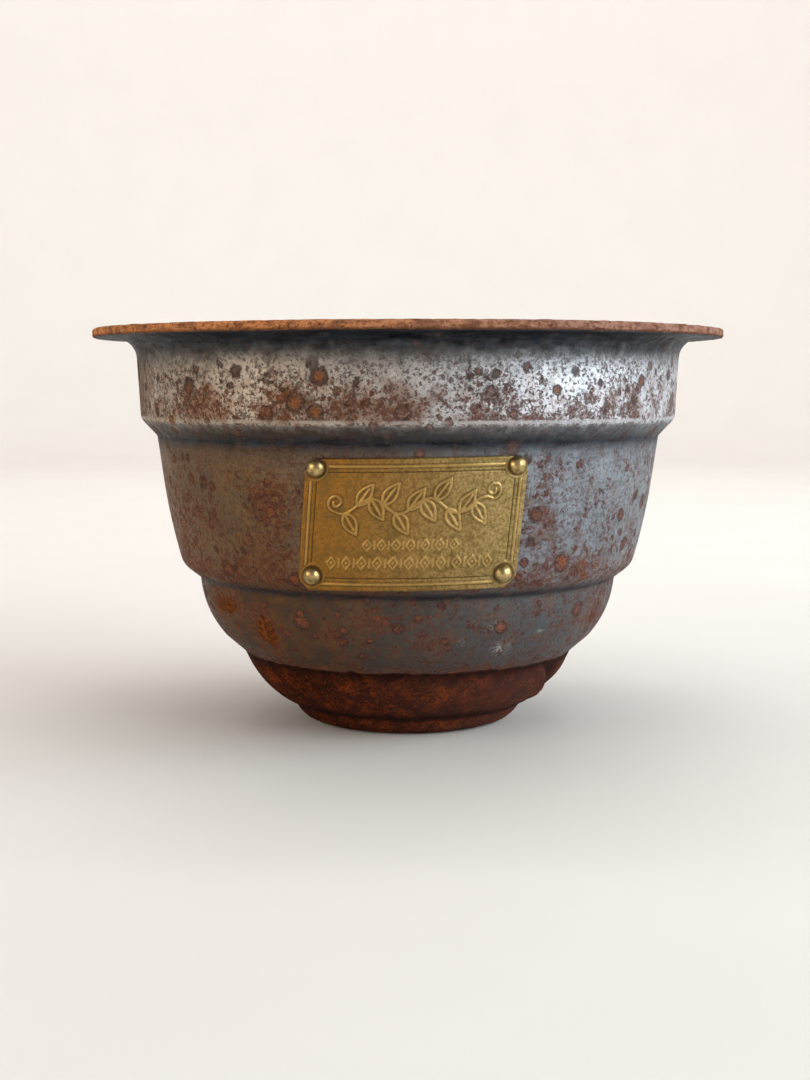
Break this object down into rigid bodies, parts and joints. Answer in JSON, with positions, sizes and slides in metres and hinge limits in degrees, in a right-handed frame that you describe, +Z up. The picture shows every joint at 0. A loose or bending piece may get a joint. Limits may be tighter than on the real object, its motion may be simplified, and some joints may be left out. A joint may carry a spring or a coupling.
{
  "type": "plant pot",
  "caption": "Round stepped plant pot pressed from sheet steel, with a flat outward rim, a drain hole and a riveted brass nameplate.",
  "frame": {"origin": "centre of the foot's underside, on the surface that the pot stands on", "axes": "+Z up along the pot's axis of revolution; the nameplate faces -Y, with its left side towards -X"},
  "size_m": [0.16, 0.16, 0.1],
  "materials": {
    "rusted_steel": "bare mild steel, satin, spotted and then covered with rust towards the foot and on the rim's edge",
    "aged_brass": "aged brass, matt in its embossing and brighter on the raised lines",
    "rivet_brass": "worn brass, satin"
  },
  "bodies": {
    "root": {"pot_shell": "rusted_steel", "nameplate": "aged_brass", "rivet_top_left": "rivet_brass", "rivet_top_right": "rivet_brass", "rivet_bottom_left": "rivet_brass", "rivet_bottom_right": "rivet_brass"}
  },
  "joints": []
}
